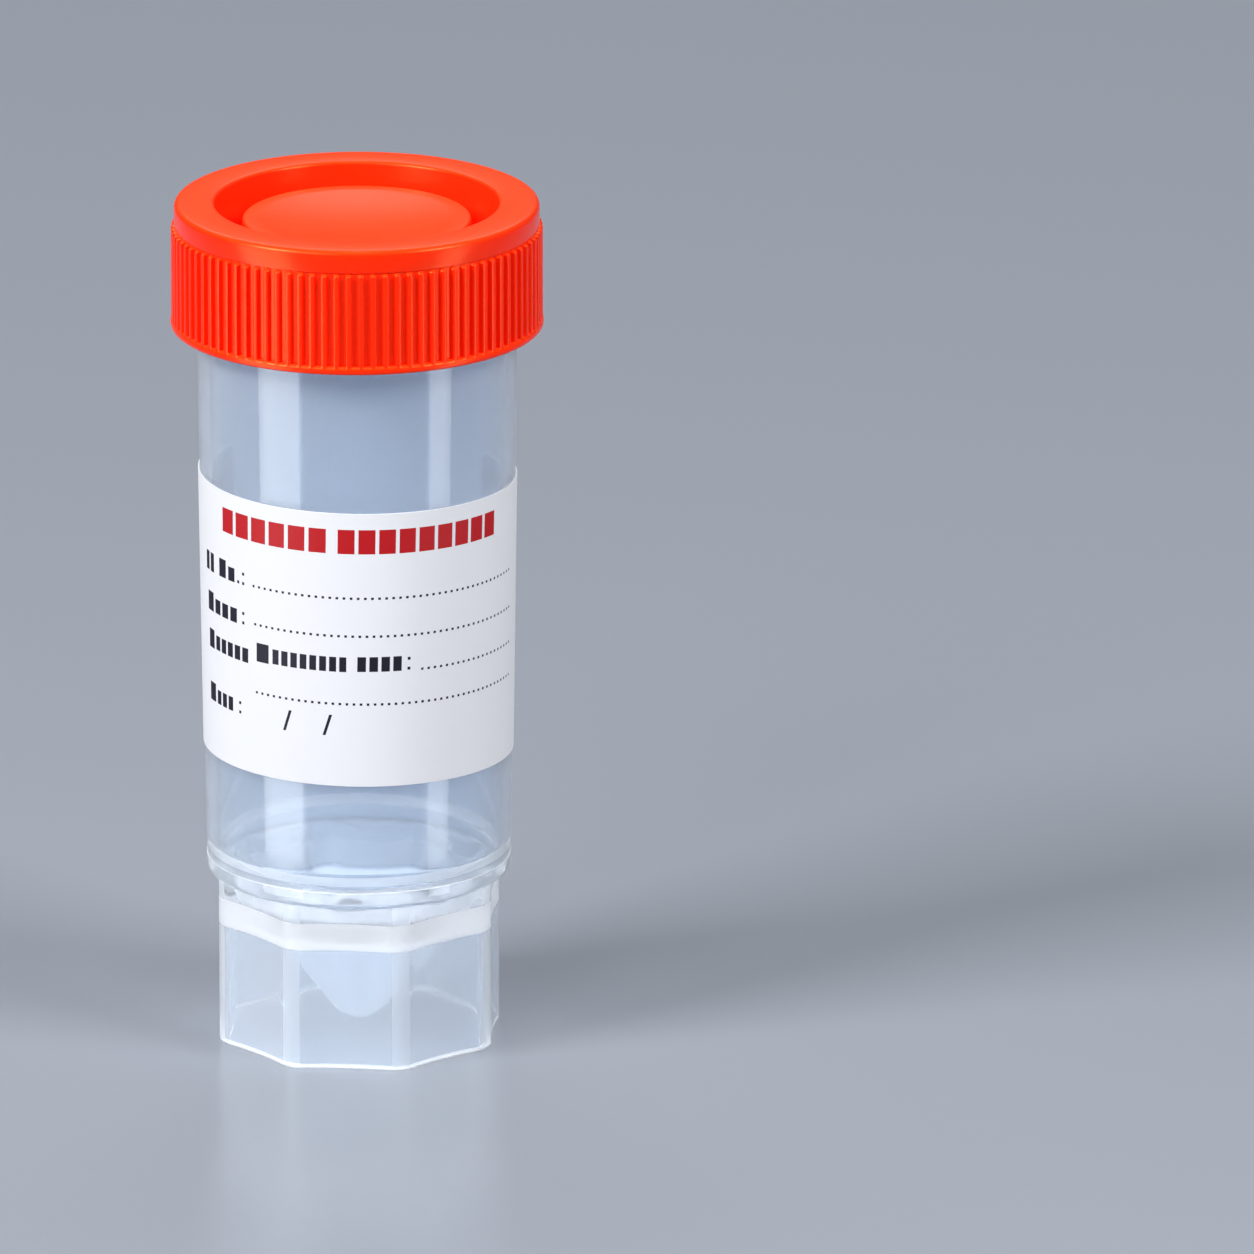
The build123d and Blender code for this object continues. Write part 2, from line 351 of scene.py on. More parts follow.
def moulded_skin_group():
    """Fine unevenness of a moulded surface: a roughness and a normal."""
    group = bpy.data.node_groups.new("moulded_skin", "ShaderNodeTree")
    inputs, outputs = group_sockets(
        group,
        [("Place", "NodeSocketVector", None), ("Grain Size", "NodeSocketFloat", 1200.0),
         ("Roughness", "NodeSocketFloat", 0.2), ("Variation", "NodeSocketFloat", 0.05),
         ("Depth", "NodeSocketFloat", 0.1)],
        [("Roughness", "NodeSocketFloat"), ("Normal", "NodeSocketVector")])
    links = group.links
    waves = group.nodes.new("ShaderNodeTexNoise")
    waves.inputs["Scale"].default_value = 90.0
    waves.inputs["Detail"].default_value = 2.0
    links.new(inputs.outputs["Place"], waves.inputs["Vector"])
    grain = group.nodes.new("ShaderNodeTexNoise")
    grain.inputs["Detail"].default_value = 3.0
    links.new(inputs.outputs["Place"], grain.inputs["Vector"])
    links.new(inputs.outputs["Grain Size"], grain.inputs["Scale"])
    spread = add_math(group, "SUBTRACT", waves.outputs["Fac"], 0.5)
    spread = add_math(group, "MULTIPLY", spread, inputs.outputs["Variation"])
    links.new(add_math(group, "ADD", spread, inputs.outputs["Roughness"], clamp=True),
              outputs.inputs["Roughness"])
    height = add_math(group, "MULTIPLY", waves.outputs["Fac"], 0.8)
    height = add_math(group, "ADD", height, grain.outputs["Fac"])
    bump = group.nodes.new("ShaderNodeBump")
    bump.inputs["Distance"].default_value = 0.05 * MM
    links.new(height, bump.inputs["Height"])
    links.new(inputs.outputs["Depth"], bump.inputs["Strength"])
    links.new(bump.outputs["Normal"], outputs.inputs["Normal"])
    return group


def printed_block_group():
    """Mask of a row of plain blocks inside a rectangle on the label, in millimetres."""
    group = bpy.data.node_groups.new("printed_blocks", "ShaderNodeTree")
    inputs, outputs = group_sockets(
        group,
        [("Across", "NodeSocketFloat", 0.0), ("Up", "NodeSocketFloat", 0.0),
         ("Left", "NodeSocketFloat", 0.0), ("Right", "NodeSocketFloat", 1.0),
         ("Low", "NodeSocketFloat", 0.0), ("High", "NodeSocketFloat", 1.0),
         ("Pitch", "NodeSocketFloat", 1.0), ("Fill", "NodeSocketFloat", 0.8),
         ("Slant", "NodeSocketFloat", 0.0)],
        [("Mask", "NodeSocketFloat")])
    names = inputs.outputs
    lean = add_math(group, "SUBTRACT", names["Up"], names["Low"])
    lean = add_math(group, "MULTIPLY", lean, names["Slant"])
    across = add_math(group, "SUBTRACT", names["Across"], lean)
    mask = add_math(group, "GREATER_THAN", across, names["Left"])
    for test in (
            add_math(group, "LESS_THAN", across, names["Right"]),
            add_math(group, "GREATER_THAN", names["Up"], names["Low"]),
            add_math(group, "LESS_THAN", names["Up"], names["High"])):
        mask = add_math(group, "MULTIPLY", mask, test)
    along = add_math(group, "SUBTRACT", across, names["Left"])
    along = add_math(group, "DIVIDE", along, names["Pitch"])
    along = add_math(group, "FRACT", along)
    filled = add_math(group, "LESS_THAN", along, names["Fill"])
    group.links.new(add_math(group, "MULTIPLY", mask, filled), outputs.inputs["Mask"])
    return group


def place_group(tree, group, values, links=()):
    """Put a node group in a tree with its own values and linked sockets."""
    node = tree.nodes.new("ShaderNodeGroup")
    node.node_tree = group
    for name, value in values.items():
        node.inputs[name].default_value = value
    for name, socket in links:
        tree.links.new(socket, node.inputs[name])
    return node


# Materials.

def new_material(name):
    """An empty material with one Principled shader."""
    material = bpy.data.materials.new(name)
    material.use_nodes = True
    tree = material.node_tree
    tree.nodes.clear()
    shader = tree.nodes.new("ShaderNodeBsdfPrincipled")
    output = tree.nodes.new("ShaderNodeOutputMaterial")
    tree.links.new(shader.outputs["BSDF"], output.inputs["Surface"])
    return material, tree, shader


def plastic(name, colour, skin, grain, roughness, variation, depth):
    """A moulded plastic with the shared skin on its roughness and normal.

    The roughness is one number, or a pair for the surface's sides and its tops.
    """
    material, tree, shader = new_material(name)
    shader.inputs["Base Color"].default_value = colour
    place = tree.nodes.new("ShaderNodeTexCoord")
    surface = place_group(
        tree, skin,
        {"Grain Size": grain, "Variation": variation, "Depth": depth},
        [("Place", place.outputs["Object"])])
    if isinstance(roughness, tuple):
        level = add_math(tree, "MULTIPLY", facing_up(tree), roughness[1] - roughness[0])
        level = add_math(tree, "ADD", level, roughness[0])
        tree.links.new(level, surface.inputs["Roughness"])
    else:
        surface.inputs["Roughness"].default_value = roughness
    tree.links.new(surface.outputs["Roughness"], shader.inputs["Roughness"])
    tree.links.new(surface.outputs["Normal"], shader.inputs["Normal"])
    return material, shader


def facing_up(tree):
    """How far a surface faces up: 0 on a side, 1 on a flat top."""
    place = tree.nodes.new("ShaderNodeNewGeometry")
    parts = tree.nodes.new("ShaderNodeSeparateXYZ")
    tree.links.new(place.outputs["Normal"], parts.inputs["Vector"])
    return add_math(tree, "MAXIMUM", parts.outputs["Z"], 0.0)


def clear_plastic(name, colour, painted_sheen_colour, skin, roughness, clearness):
    """Plastic that scatters a part of the light, with a painted sheen: its colour turns whiter
    where it is seen edge on.
    """
    material, shader = plastic(name, colour, skin, 500.0, roughness, 0.05, 0.04)
    shader.inputs["Transmission Weight"].default_value = clearness
    shader.inputs["IOR"].default_value = 1.49
    shader.inputs["Sheen Weight"].default_value = 0.42
    shader.inputs["Sheen Roughness"].default_value = 0.3
    shader.inputs["Sheen Tint"].default_value = (0.8, 0.9, 1.0, 1)
    tree = material.node_tree
    # Painted sheen: the colour turns to the sheen colour where the surface is seen edge on.
    edge = tree.nodes.new("ShaderNodeLayerWeight")
    edge.inputs["Blend"].default_value = 0.5
    tree.links.new(
        mix_colours(tree, edge.outputs["Facing"], colour, painted_sheen_colour),
        shader.inputs["Base Color"])
    path = tree.nodes.new("ShaderNodeLightPath")
    shade = add_math(tree, "MULTIPLY", path.outputs["Is Shadow Ray"], -0.6)
    tree.links.new(add_math(tree, "ADD", shade, 1.0), shader.inputs["Alpha"])
    return material


def cap_plastic(finishes, skin):
    """Opaque plastic, glossier on its sides, with painted light: a lighter orange where it faces
    up.
    """
    material, shader = plastic(
        "red_orange_plastic", finishes.cap_colour, skin, 1500.0, (0.24, 0.30), 0.06, 0.05)
    tree = material.node_tree
    up = facing_up(tree)
    # Painted light: the colour turns a lighter orange where the cap faces up.
    tree.links.new(
        mix_colours(tree, up, finishes.cap_colour, finishes.cap_painted_top_light),
        shader.inputs["Base Color"])
    gloss = add_math(tree, "MULTIPLY", up, -0.45)
    tree.links.new(add_math(tree, "ADD", gloss, 0.60), shader.inputs["Specular IOR Level"])
    shader.inputs["Subsurface Weight"].default_value = 0.15
    shader.inputs["Subsurface Radius"].default_value = (1.0, 0.35, 0.15)
    shader.inputs["Subsurface Scale"].default_value = 0.8 * MM
    shader.inputs["Specular Tint"].default_value = (1.0, 0.5, 0.15, 1)
    return material


# Rows of the label's print, in millimetres from the label's middle:
# left, right, low, high, block pitch, share of the pitch that is filled, slant.
HEADING_BLOCKS = [
    (-15.3, -3.05, 9.75, 12.20, 2.11, 0.81, 0.0),
    (-1.92, 15.5, 9.75, 12.20, 1.975, 0.82, 0.0),
]
PROMPT_BLOCKS = [
    (-19.0, -16.9, 4.95, 6.85, 1.10, 0.70, 0.0),
    (-16.0, -14.8, 5.00, 6.85, 2.00, 1.00, 0.0),
    (-14.4, -13.4, 5.00, 6.40, 2.00, 1.00, 0.0),
    (-13.0, -12.7, 5.05, 5.35, 1.00, 1.00, 0.0),
    (-12.3, -12.0, 5.05, 5.35, 1.00, 1.00, 0.0),
    (-12.3, -12.0, 6.00, 6.30, 1.00, 1.00, 0.0),
    (-18.6, -17.3, 0.90, 2.85, 2.00, 1.00, 0.0),
    (-16.9, -12.9, 0.95, 2.40, 1.40, 0.74, 0.0),
    (-12.3, -12.0, 1.05, 1.35, 1.00, 1.00, 0.0),
    (-12.3, -12.0, 2.00, 2.30, 1.00, 1.00, 0.0),
    (-18.4, -17.2, -2.85, -0.95, 2.00, 1.00, 0.0),
    (-16.8, -11.4, -2.75, -1.30, 1.12, 0.74, 0.0),
    (-10.4, -8.95, -2.30, -0.40, 2.00, 1.00, 0.0),
    (-8.5, -0.75, -2.20, -0.70, 0.98, 0.70, 0.0),
    (0.1, 4.6, -2.15, -0.65, 1.16, 0.72, 0.0),
    (5.0, 5.3, -2.10, -1.80, 1.00, 1.00, 0.0),
    (5.0, 5.3, -1.10, -0.80, 1.00, 1.00, 0.0),
    (-18.3, -17.0, -8.20, -6.35, 2.00, 1.00, 0.0),
    (-16.6, -13.6, -8.20, -6.80, 1.05, 0.72, 0.0),
    (-12.8, -12.5, -8.15, -7.85, 1.00, 1.00, 0.0),
    (-12.8, -12.5, -7.20, -6.90, 1.00, 1.00, 0.0),
    (-7.30, -7.00, -8.70, -6.60, 1.00, 1.00, 0.30),
    (-3.20, -2.90, -8.70, -6.60, 1.00, 1.00, 0.30),
]
DOTTED_RULES = [
    (-10.9, 19.4, 5.14, 5.38, 0.68, 0.38, 0.0),
    (-10.7, 19.5, 1.30, 1.54, 0.68, 0.38, 0.0),
    (6.4, 19.6, -2.26, -2.02, 0.68, 0.38, 0.0),
    (-10.5, 19.7, -5.58, -5.34, 0.68, 0.38, 0.0),
]


def label_paper(finishes, blocks):
    """White paper with the print as plain blocks and dotted rules on the label's own UV map."""
    material, tree, shader = new_material("label_face")
    uv = tree.nodes.new("ShaderNodeUVMap")
    uv.uv_map = "UVMap"
    parts = tree.nodes.new("ShaderNodeSeparateXYZ")
    tree.links.new(uv.outputs["UV"], parts.inputs["Vector"])
    across = add_math(tree, "SUBTRACT", parts.outputs["X"], 0.5)
    across = add_math(tree, "MULTIPLY", across, LABEL_WIDTH / MM)
    up = add_math(tree, "SUBTRACT", parts.outputs["Y"], 0.5)
    up = add_math(tree, "MULTIPLY", up, LABEL_HEIGHT / MM)
    masks = []
    for rows in (HEADING_BLOCKS, PROMPT_BLOCKS + DOTTED_RULES):
        mask = None
        for left, right, low, high, pitch, fill, slant in rows:
            block = place_group(
                tree, blocks,
                {"Left": left, "Right": right, "Low": low, "High": high,
                 "Pitch": pitch, "Fill": fill, "Slant": slant},
                [("Across", across), ("Up", up)])
            row = block.outputs["Mask"]
            mask = row if mask is None else add_math(tree, "MAXIMUM", mask, row)
        masks.append(mask)
    colour = finishes.label_colour
    for mask, ink in zip(masks, (finishes.heading_colour, finishes.ink_colour)):
        colour = mix_colours(tree, mask, colour, ink)
    tree.links.new(colour, shader.inputs["Base Color"])
    shader.inputs["Roughness"].default_value = 0.55
    shader.inputs["Specular IOR Level"].default_value = 0.2
    return material


def plain_paper(finishes):
    """The label's glued back and its cut edges."""
    material, _, shader = new_material("label_back")
    shader.inputs["Base Color"].default_value = finishes.label_colour
    shader.inputs["Roughness"].default_value = 0.7
    return material


def dress(piece, *materials):
    """Give a piece its materials in place of any that it has."""
    piece.data.materials.clear()
    for material in materials:
        piece.data.materials.append(material)


# Operators: one for each piece and one for the stage.

def wall_draft(sizes):
    """How much the wall's radius grows with its height."""
    return (sizes.shoulder_radius - sizes.foot_radius) / (
        sizes.shoulder_height - sizes.ledge_height)


def skirt_radius(sizes, angle):
    """Reach of the skirt's outline at an angle from the middle of a side."""
    corner = SKIRT_CORNER
    dish = 0.5 * MM
    corner_round = 3.0 * MM
    half_side = sizes.skirt_reach * sin(corner)
    side_middle = sizes.skirt_reach * cos(corner) - dish
    side_arc = (half_side**2 + dish**2) / (2 * dish)
    arc_centre = side_middle + side_arc
    round_centre = arc_centre * cos(corner) - sqrt(
        (side_arc + corner_round)**2 - (arc_centre * sin(corner))**2)
    share = side_arc / (side_arc + corner_round)
    touch = Vector((
        arc_centre + (round_centre * cos(corner) - arc_centre) * share,
        round_centre * sin(corner) * share))
    if angle < atan(touch.y / touch.x):
        return arc_centre * cos(angle) - sqrt(side_arc**2 - (arc_centre * sin(angle))**2)
    off = corner - angle
    return round_centre * cos(off) + sqrt(corner_round**2 - (round_centre * sin(off))**2)


def model_vessel(sizes):
    """Neck, wall, foot ring and conical floor, drawn as one section and turned."""
    slope = sizes.cone_slope
    rise = tan(slope)
    tip_height, tip_radius, cone_wall = 1.4 * MM, 3.2 * MM, CONE_WALL
    apex = tip_height - tip_radius * (1 / cos(slope) - 1)
    floor_apex = apex + cone_wall / cos(slope)
    floor_tip_radius = tip_radius - cone_wall
    floor_tip = floor_apex + floor_tip_radius * (1 / cos(slope) - 1)
    tip_flat = tip_radius * tan(slope / 2)
    floor_flat = floor_tip_radius * tan(slope / 2)
    ledge = sizes.ledge_height
    ring = sizes.foot_radius + 0.10 * MM
    ring_top = ledge + RING_HEIGHT
    bore = sizes.neck_radius - NECK_WALL
    foot_bore = sizes.foot_radius - WALL
    neck = sizes.neck_radius
    vessel = start_section("clear_container")
    draw_section(vessel, [
        (0, tip_height),
        (tip_flat, tip_height, tip_flat * 0.98),
        ((ledge - apex) / rise, ledge),
        (ring, ledge, 0.8 * MM),
        (ring, ring_top, 0.06 * MM),
        (sizes.foot_radius + wall_draft(sizes) * RING_HEIGHT, ring_top),
        (sizes.shoulder_radius, sizes.shoulder_height, 0.06 * MM),
        (neck, sizes.shoulder_height + 0.09 * MM),
        (neck, sizes.lip_height, 0.35 * MM),
        (bore, sizes.lip_height, 0.35 * MM),
        (bore, sizes.shoulder_height),
        (foot_bore, floor_apex + foot_bore * rise, 1.1 * MM),
        (floor_flat, floor_tip, floor_flat * 0.98),
        (0, floor_tip),
    ])
    turn_section(vessel, ROUND_STEPS)
    leave_edit()
    return vessel, apex + cone_wall / 2 / cos(slope)


def model_skirt(sizes, cone_apex):
    """The standing skirt with its hollow, cut to the conical floor."""
    columns = 24
    bpy.ops.object.select_all(action="DESELECT")
    bpy.ops.mesh.primitive_circle_add(
        vertices=8 * columns, radius=sizes.skirt_reach, fill_type="NOTHING")
    skirt = bpy.context.object
    skirt.name = "skirt"
    bpy.ops.object.mode_set(mode="EDIT")
    for column in range(columns // 2 + 1):
        reach = skirt_radius(sizes, SKIRT_CORNER * (1 - 2 * column / columns))
        level = reach / sizes.skirt_reach
        pick(skirt, "VERT", lambda vert: vert.index % columns in (column, columns - column))
        bpy.ops.transform.resize(value=(level, level, 1), center_override=(0, 0, 0))
    bpy.ops.mesh.select_all(action="SELECT")
    bpy.ops.transform.rotate(
        value=-sizes.skirt_turn, orient_axis="Z", center_override=(0, 0, 0))
    bpy.ops.mesh.edge_face_add()
    web_low, web_high = sizes.ledge_height - SKIRT_WEB, sizes.ledge_height - 1.9 * MM
    for low, high in (
            (0, web_low), (web_low, web_high), (web_high, sizes.ledge_height + 0.6 * MM)):
        bpy.ops.mesh.extrude_region_move(
            TRANSFORM_OT_translate={"value": (0, 0, high - low)})
    pick(skirt, "EDGE", lambda edge: all(abs(vert.co.z) < 0.01 * MM for vert in edge.verts))
    bpy.ops.mesh.edge_face_add()
    pick(skirt, "FACE", lambda face: face.calc_center_median().z < 0.01 * MM)
    bpy.ops.mesh.inset(thickness=SKIRT_WALL)
    bpy.ops.mesh.extrude_region_move(TRANSFORM_OT_translate={"value": (0, 0, web_low)})

    def rim(edge):
        low = all(abs(vert.co.z) < 0.01 * MM for vert in edge.verts)
        steep = sum(abs(face.normal.z) < 0.5 for face in edge.link_faces)
        return low and steep == 1

    pick(skirt, "EDGE", rim)
    bpy.ops.mesh.bevel(offset=0.32 * MM, segments=3, profile=0.5)
    bpy.ops.mesh.select_all(action="SELECT")
    bpy.ops.mesh.normals_make_consistent(inside=False)
    leave_edit()
    bpy.ops.object.select_all(action="DESELECT")
    height = sizes.ledge_height + 3 * MM - cone_apex
    bpy.ops.mesh.primitive_cone_add(
        vertices=ROUND_STEPS, radius1=0, radius2=height / tan(sizes.cone_slope), depth=height,
        location=(0, 0, cone_apex + height / 2))
    join_solid(skirt, bpy.context.object, "DIFFERENCE")
    return skirt


class OBJECT_OT_container(bpy.types.Operator):
    """Model the clear container: drafted wall, conical floor, standing skirt and neck thread"""
    bl_idname = "object.specimen_container"
    bl_label = "Container"

    def execute(self, context):
        sizes = context.scene.container_sizes
        vessel, mid_cone = model_vessel(sizes)
        join_solid(vessel, model_skirt(sizes, mid_cone), "UNION")
        pitch = sizes.thread_pitch
        neck = sizes.neck_radius
        thread = add_thread(
            "neck_thread", neck - THREAD_BURIED, neck + THREAD_PROUD,
            sizes.lip_height - 2.6 * MM - THREAD_TURNS * pitch, pitch, THREAD_START)
        join_solid(vessel, thread, "UNION")
        smooth(vessel, 32)
        dress(vessel, *(bpy.data.materials[name] for name in (
            "clear_wall", "clear_skirt", "painted_corner_streaks", "cloudy_cone_and_painted_ring_line", "matt_band_and_painted_fillet_ring")))
        self.frost_and_paint_highlights(vessel, sizes)
        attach(vessel, "tube")
        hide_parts("container")
        return {"FINISHED"}

    def frost_and_paint_highlights(self, vessel, sizes):
        """Give the skirt, the foot and the matt bands their cloudier plastic, and paint
        highlights: streaks on the skirt's corners, a line on the foot ring's top and a ring on the
        inner fillet.
        """
        ledge = sizes.ledge_height
        ring_top = ledge + RING_HEIGHT
        bore = sizes.foot_radius - WALL

        def skirt(face):
            return abs(face.normal.z) < 0.5 and face.calc_center_median().z < ledge

        # Painted reflection: a whiter plastic on the skirt's corners stands for the streaks that
        # the strip lights make there.
        def corner(face):
            return skirt(face) and face.calc_center_median().xy.length > bore + 0.36 * MM

        # A whiter, cloudier plastic under the cone in the skirt's hollow, and a painted highlight
        # line along the top of the foot ring.
        def foot(face):
            middle = face.calc_center_median()
            rim = middle.xy.length > bore + 0.3 * MM and abs(middle.z - ring_top) < 0.2 * MM
            return face.normal.z < -0.3 and middle.z < ledge or rim

        # A rougher, whiter band round the skirt and along its bottom edge, and a painted highlight
        # ring on the inner fillet where the wall meets the cone.
        def matt(face):
            middle = face.calc_center_median()
            side = abs(face.normal.z) < 0.2 and middle.xy.length > 0.8 * bore
            band = side and ledge - 4.7 * MM < middle.z < ledge - 1.8 * MM
            # Painted highlight: the inner fillet's faces take the whiter plastic as a bright ring.
            eased = 0.18 < face.normal.z < 0.44 and middle.xy.length < bore
            return band or middle.z < 0.4 * MM or eased and middle.z > ledge

        bpy.ops.object.mode_set(mode="EDIT")
        for slot, wanted in enumerate((skirt, corner, foot, matt)):
            pick(vessel, "FACE", wanted)
            vessel.active_material_index = slot + 1
            bpy.ops.object.material_slot_assign()
        leave_edit()


class OBJECT_OT_screw_cap(bpy.types.Operator):
    """Model the screw cap: ribbed grip, bottom bead, recess, dished disc, plug and thread"""
    bl_idname = "object.specimen_cap"
    bl_label = "Screw Cap"

    def execute(self, context):
        sizes = context.scene.cap_sizes
        neck = context.scene.container_sizes.neck_radius
        pitch = context.scene.container_sizes.thread_pitch
        columns = 10
        top, bottom, band = sizes.top, sizes.bottom, sizes.band_radius
        root = band - 0.17 * MM
        rib_top = top - 2.32 * MM
        rib = sizes.rib_radius
        bore = neck + 1.05 * MM
        plug = neck - 1.15 * MM
        seat = top - 1.3 * MM
        moat, disc = top - 5 * MM, top - 1.6 * MM
        dish = [(9.6 * MM * step / 5, disc - 0.8 * MM * (1 - (step / 5)**2)) for step in range(5)]
        dome = [rib_top - rib * share for share in (0, 0.15, 0.4, 0.7, 1.0)]
        cap = start_section("ribbed_screw_cap")
        draw_section(cap, dish + [
            (9.6 * MM, disc, 0.25 * MM),
            (11.06 * MM, disc, 0.30 * MM),
            (11.24 * MM, moat, 0.75 * MM),
            (13.49 * MM, moat, 0.75 * MM),
            (13.75 * MM, top, 0.35 * MM),
            (band, top, 0.55 * MM),
            (band, top - 2.2 * MM, 0.06 * MM),
            (root, top - 2.25 * MM),
        ] + [(root, height) for height in dome] + [
            (root, bottom + 0.80 * MM),
            (band + 0.38 * MM, bottom + 0.80 * MM, 0.36 * MM),
            (band + 0.38 * MM, bottom, 0.26 * MM),
            (bore, bottom, 0.20 * MM),
            (bore, seat, 0.30 * MM),
            (plug, seat),
            (plug, moat - 0.5 * MM, 0.2 * MM),
            (plug - 0.5 * MM, moat - 1.0 * MM, 0.2 * MM),
            (10.24 * MM, moat - 1.0 * MM, 0.2 * MM),
            (10.06 * MM, disc - 1.8 * MM, 0.3 * MM),
            (0, disc - 1.8 * MM),
        ])
        turn_section(cap, sizes.rib_count * columns)
        shape = bmesh.from_edit_mesh(cap.data)
        count = sizes.rib_count * columns
        rows = {}
        for vert in shape.verts:
            reach = vert.co.xy.length
            low_enough = bottom + 0.44 * MM < vert.co.z < rib_top + 0.01 * MM
            if low_enough and reach > root - 0.05 * MM:
                column = round(Vector((1, 0)).angle_signed(vert.co.xy, 0) / (2 * pi) * count)
                place = column % columns
                place = min(place, columns - place)
                if place < 4:
                    key = (place, round(vert.co.z / MM, 3), round(reach / MM, 3))
                    rows.setdefault(key, []).append(vert.index)
        for (place, height, reach), members in rows.items():
            below = max(0.0, rib_top - height * MM)
            bar = sqrt(max(0.0, rib**2 - max(0.0, rib - below)**2))
            side = place * 2 * pi * band / count
            if side < bar:
                wanted = band + (bar**3 - side**3)**(1 / 3)
                if wanted > reach * MM:
                    chosen = set(members)
                    pick(cap, "VERT", lambda vert: vert.index in chosen)
                    level = wanted / (reach * MM)
                    bpy.ops.transform.resize(
                        value=(level, level, 1), center_override=(0, 0, 0))
        bpy.ops.mesh.select_all(action="SELECT")
        bpy.ops.mesh.remove_doubles(threshold=0.001 * MM)
        bpy.ops.mesh.normals_make_consistent(inside=False)
        leave_edit()
        thread = add_thread(
            "cap_thread", bore + THREAD_BURIED, bore - THREAD_PROUD,
            bottom + 2.0 * MM, pitch, THREAD_START + pi * 0.4)
        bpy.ops.object.select_all(action="DESELECT")
        thread.select_set(True)
        cap.select_set(True)
        context.view_layer.objects.active = cap
        bpy.ops.object.join()
        smooth(cap, 40)
        dress(cap, bpy.data.materials["red_orange_plastic"])
        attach(cap, "cap")
        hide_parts("screw_cap")
        return {"FINISHED"}


class OBJECT_OT_label(bpy.types.Operator):
    """Model the wrap label: a sheet cut to size, bent round the drafted wall"""
    bl_idname = "object.specimen_label"
    bl_label = "Label"

    def execute(self, context):
        sizes = context.scene.container_sizes
        draft = wall_draft(sizes)
        rise = LABEL_MIDDLE - sizes.ledge_height
        radius = sizes.foot_radius + draft * rise + LABEL_GLUE
        bpy.ops.object.select_all(action="DESELECT")
        bpy.ops.mesh.primitive_plane_add(size=1)
        label = bpy.context.object
        label.name = "wrap_label"
        bpy.ops.object.mode_set(mode="EDIT")
        bpy.ops.mesh.select_all(action="SELECT")
        bpy.ops.transform.resize(value=(LABEL_WIDTH, LABEL_HEIGHT, 1))
        bpy.ops.mesh.bevel(
            offset=LABEL_CORNER, affect="VERTICES", segments=6, profile=0.5)
        for step in range(1, LABEL_COLUMNS):
            cut = LABEL_WIDTH * (step / LABEL_COLUMNS - 0.5)
            bpy.ops.mesh.select_all(action="SELECT")
            bpy.ops.mesh.bisect(plane_co=(cut, 0, 0), plane_no=(1, 0, 0))
        bpy.ops.mesh.select_all(action="SELECT")
        bpy.ops.transform.rotate(
            value=LABEL_TILT, orient_axis="Z", center_override=(0, 0, 0))
        for vert in bmesh.from_edit_mesh(label.data).verts:
            turn = vert.co.x / radius
            reach = radius + draft * vert.co.y
            vert.co = (reach * sin(turn), -reach * cos(turn), LABEL_MIDDLE + vert.co.y)
        leave_edit()
        apply_modifier(
            label, "SOLIDIFY", thickness=LABEL_THICKNESS, offset=1, material_offset=1,
            material_offset_rim=1, use_even_offset=True)
        smooth(label, 40)
        dress(label, bpy.data.materials["label_face"], bpy.data.materials["label_back"])
        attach(label, "tube")
        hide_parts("label")
        return {"FINISHED"}


class OBJECT_OT_finishes(bpy.types.Operator):
    """Make the materials of the container, cap and label"""
    bl_idname = "object.specimen_finishes"
    bl_label = "Finishes"

    def execute(self, context):
        finishes = context.scene.container_finishes
        skin = moulded_skin_group()
        # The haze tint is also the colour of the painted highlights and the painted edge sheen.
        haze_and_highlight = finishes.haze_and_highlight_tint
        clear_plastic("clear_wall", finishes.clear_tint, haze_and_highlight, skin, 0.07, 0.88)
        clear_plastic("clear_skirt", finishes.skirt_tint, haze_and_highlight, skin, 0.08, 0.81)
        # Painted reflection: streaks of the strip lights down the skirt's corners.
        clear_plastic("painted_corner_streaks", finishes.skirt_tint, haze_and_highlight, skin, 0.20, 0.68)
        # Cloudier plastic under the cone, and a painted highlight line on the foot ring's top.
        clear_plastic("cloudy_cone_and_painted_ring_line", haze_and_highlight, haze_and_highlight, skin, 0.16, 0.56)
        # Rougher, whiter band and bottom edge, and a painted highlight ring on the inner fillet.
        clear_plastic("matt_band_and_painted_fillet_ring", haze_and_highlight, haze_and_highlight, skin, 0.40, 0.54)
        cap_plastic(finishes, skin)
        label_paper(finishes, printed_block_group())
        plain_paper(finishes)
        return {"FINISHED"}


